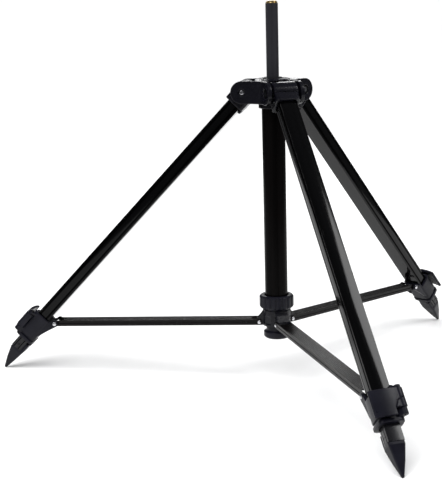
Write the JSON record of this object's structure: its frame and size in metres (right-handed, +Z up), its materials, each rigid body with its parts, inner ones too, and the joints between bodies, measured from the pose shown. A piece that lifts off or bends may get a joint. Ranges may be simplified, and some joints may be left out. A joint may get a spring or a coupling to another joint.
{
  "type": "tripod hunting stand",
  "caption": "Folding three-leg field stand with telescoping legs, spike feet, braces from a sliding hub and a threaded centre rod.",
  "frame": {"origin": "on the ground, on the axis of the column, midway between the three spike points", "axes": "+Z up along the column towards the thread in the rod; -Y towards the front leg, the other two legs at 120 degrees"},
  "size_m": [0.6762, 0.5905, 0.5002],
  "materials": {
    "black_polymer": "glass-filled nylon, satin",
    "black_anodised": "black gloss anodised",
    "tube_anodised": "black satin anodised",
    "rod_black": "black satin coating",
    "brace_aluminium": "dark warm grey anodised, ribbed",
    "steel": "bright zinc",
    "black_steel": "black oxide",
    "brass": "turned",
    "nylon": "black nylon"
  },
  "bodies": {
    "column": {"crown": "black_polymer", "guide_bush": "nylon", "crown_screws": "black_steel", "column_tube": "tube_anodised", "end_cap": "black_polymer", "pivot_bolts": "black_steel", "pivot_nuts": "black_steel"},
    "sliding_hub": {"hub": "black_polymer", "hub_rivets": "steel", "hub_collet": "nylon"},
    "ring": {"lock_ring": "black_polymer"},
    "centre_rod": {"rod": "rod_black", "thread_insert": "brass", "rod_plug": "nylon"},
    "brace_front_body": {"brace_front": "brace_aluminium"},
    "leg_front": {"leg_head_front": "black_polymer", "upper_leg_front": "black_anodised", "head_pin_front": "black_steel", "leg_collar_front": "black_polymer", "lever_pin_front": "black_steel", "clamp_shoe_front": "nylon", "brace_rivet_front": "steel"},
    "lever_front_body": {"lever_front": "black_polymer"},
    "lower_front": {"lower_leg_front": "black_anodised", "guide_plug_front": "nylon", "spike_foot_front": "black_polymer", "foot_pin_front": "black_steel"},
    "brace_right_body": {"brace_right": "brace_aluminium"},
    "leg_right": {"leg_head_right": "black_polymer", "upper_leg_right": "black_anodised", "head_pin_right": "black_steel", "leg_collar_right": "black_polymer", "lever_pin_right": "black_steel", "clamp_shoe_right": "nylon", "brace_rivet_right": "steel"},
    "lever_right_body": {"lever_right": "black_polymer"},
    "lower_right": {"lower_leg_right": "black_anodised", "guide_plug_right": "nylon", "spike_foot_right": "black_polymer", "foot_pin_right": "black_steel"},
    "brace_left_body": {"brace_left": "brace_aluminium"},
    "leg_left": {"leg_head_left": "black_polymer", "upper_leg_left": "black_anodised", "head_pin_left": "black_steel", "leg_collar_left": "black_polymer", "lever_pin_left": "black_steel", "clamp_shoe_left": "nylon", "brace_rivet_left": "steel"},
    "lever_left_body": {"lever_left": "black_polymer"},
    "lower_left": {"lower_leg_left": "black_anodised", "guide_plug_left": "nylon", "spike_foot_left": "black_polymer", "foot_pin_left": "black_steel"}
  },
  "joints": [
    {"name": "hub_slide", "type": "slide", "parent": "column", "child": "sliding_hub", "axis": [0, 0, 1], "range_m": [0, 0.17538]},
    {"name": "lock_ring_turn", "type": "hinge", "parent": "sliding_hub", "child": "ring", "pos_m": [0, 0, 0.107], "axis": [0, 0, 1], "range_deg": [0, 90]},
    {"name": "rod_slide", "type": "slide", "parent": "column", "child": "centre_rod", "axis": [0, 0, 1], "range_m": [-0.094, 0.15]},
    {"name": "brace_swing_front", "type": "hinge", "parent": "sliding_hub", "child": "brace_front_body", "pos_m": [0, -0.022, 0.0796], "axis": [1, 0, 0], "range_deg": [0, 87.41]},
    {"name": "leg_swing_front", "type": "hinge", "parent": "brace_front_body", "child": "leg_front", "pos_m": [0, -0.30866, 0.06845], "axis": [1, 0, 0], "range_deg": [-45.05, 0]},
    {"name": "lever_flip_front", "type": "hinge", "parent": "leg_front", "child": "lever_front_body", "pos_m": [0.0155, -0.34883, 0.07557], "axis": [0, 0.6866, 0.7271], "range_deg": [0, 110]},
    {"name": "leg_extend_front", "type": "slide", "parent": "leg_front", "child": "lower_front", "axis": [0, -0.6866, -0.7271], "range_m": [0, 0.3]},
    {"name": "brace_swing_right", "type": "hinge", "parent": "sliding_hub", "child": "brace_right_body", "pos_m": [0.01905, 0.011, 0.0796], "axis": [-0.5, 0.866, 0], "range_deg": [0, 87.41]},
    {"name": "leg_swing_right", "type": "hinge", "parent": "brace_right_body", "child": "leg_right", "pos_m": [0.26731, 0.15433, 0.06845], "axis": [-0.5, 0.866, 0], "range_deg": [-45.05, 0]},
    {"name": "lever_flip_right", "type": "hinge", "parent": "leg_right", "child": "lever_right_body", "pos_m": [0.29435, 0.18784, 0.07557], "axis": [-0.5946, -0.3433, 0.7271], "range_deg": [0, 110]},
    {"name": "leg_extend_right", "type": "slide", "parent": "leg_right", "child": "lower_right", "axis": [0.5946, 0.3433, -0.7271], "range_m": [0, 0.3]},
    {"name": "brace_swing_left", "type": "hinge", "parent": "sliding_hub", "child": "brace_left_body", "pos_m": [-0.01905, 0.011, 0.0796], "axis": [-0.5, -0.866, 0], "range_deg": [0, 87.41]},
    {"name": "leg_swing_left", "type": "hinge", "parent": "brace_left_body", "child": "leg_left", "pos_m": [-0.26731, 0.15433, 0.06845], "axis": [-0.5, -0.866, 0], "range_deg": [-45.05, 0]},
    {"name": "lever_flip_left", "type": "hinge", "parent": "leg_left", "child": "lever_left_body", "pos_m": [-0.30985, 0.16099, 0.07557], "axis": [0.5946, -0.3433, 0.7271], "range_deg": [0, 110]},
    {"name": "leg_extend_left", "type": "slide", "parent": "leg_left", "child": "lower_left", "axis": [-0.5946, 0.3433, -0.7271], "range_m": [0, 0.3]}
  ],
  "couplings": [
    {"joint": "brace_swing_front", "follows": "hub_slide", "rad_per_m": 8.6933},
    {"joint": "leg_swing_front", "follows": "hub_slide", "rad_per_m": -4.4778},
    {"joint": "brace_swing_right", "follows": "hub_slide", "rad_per_m": 8.6933},
    {"joint": "leg_swing_right", "follows": "hub_slide", "rad_per_m": -4.4778},
    {"joint": "brace_swing_left", "follows": "hub_slide", "rad_per_m": 8.6933},
    {"joint": "leg_swing_left", "follows": "hub_slide", "rad_per_m": -4.4778}
  ]
}
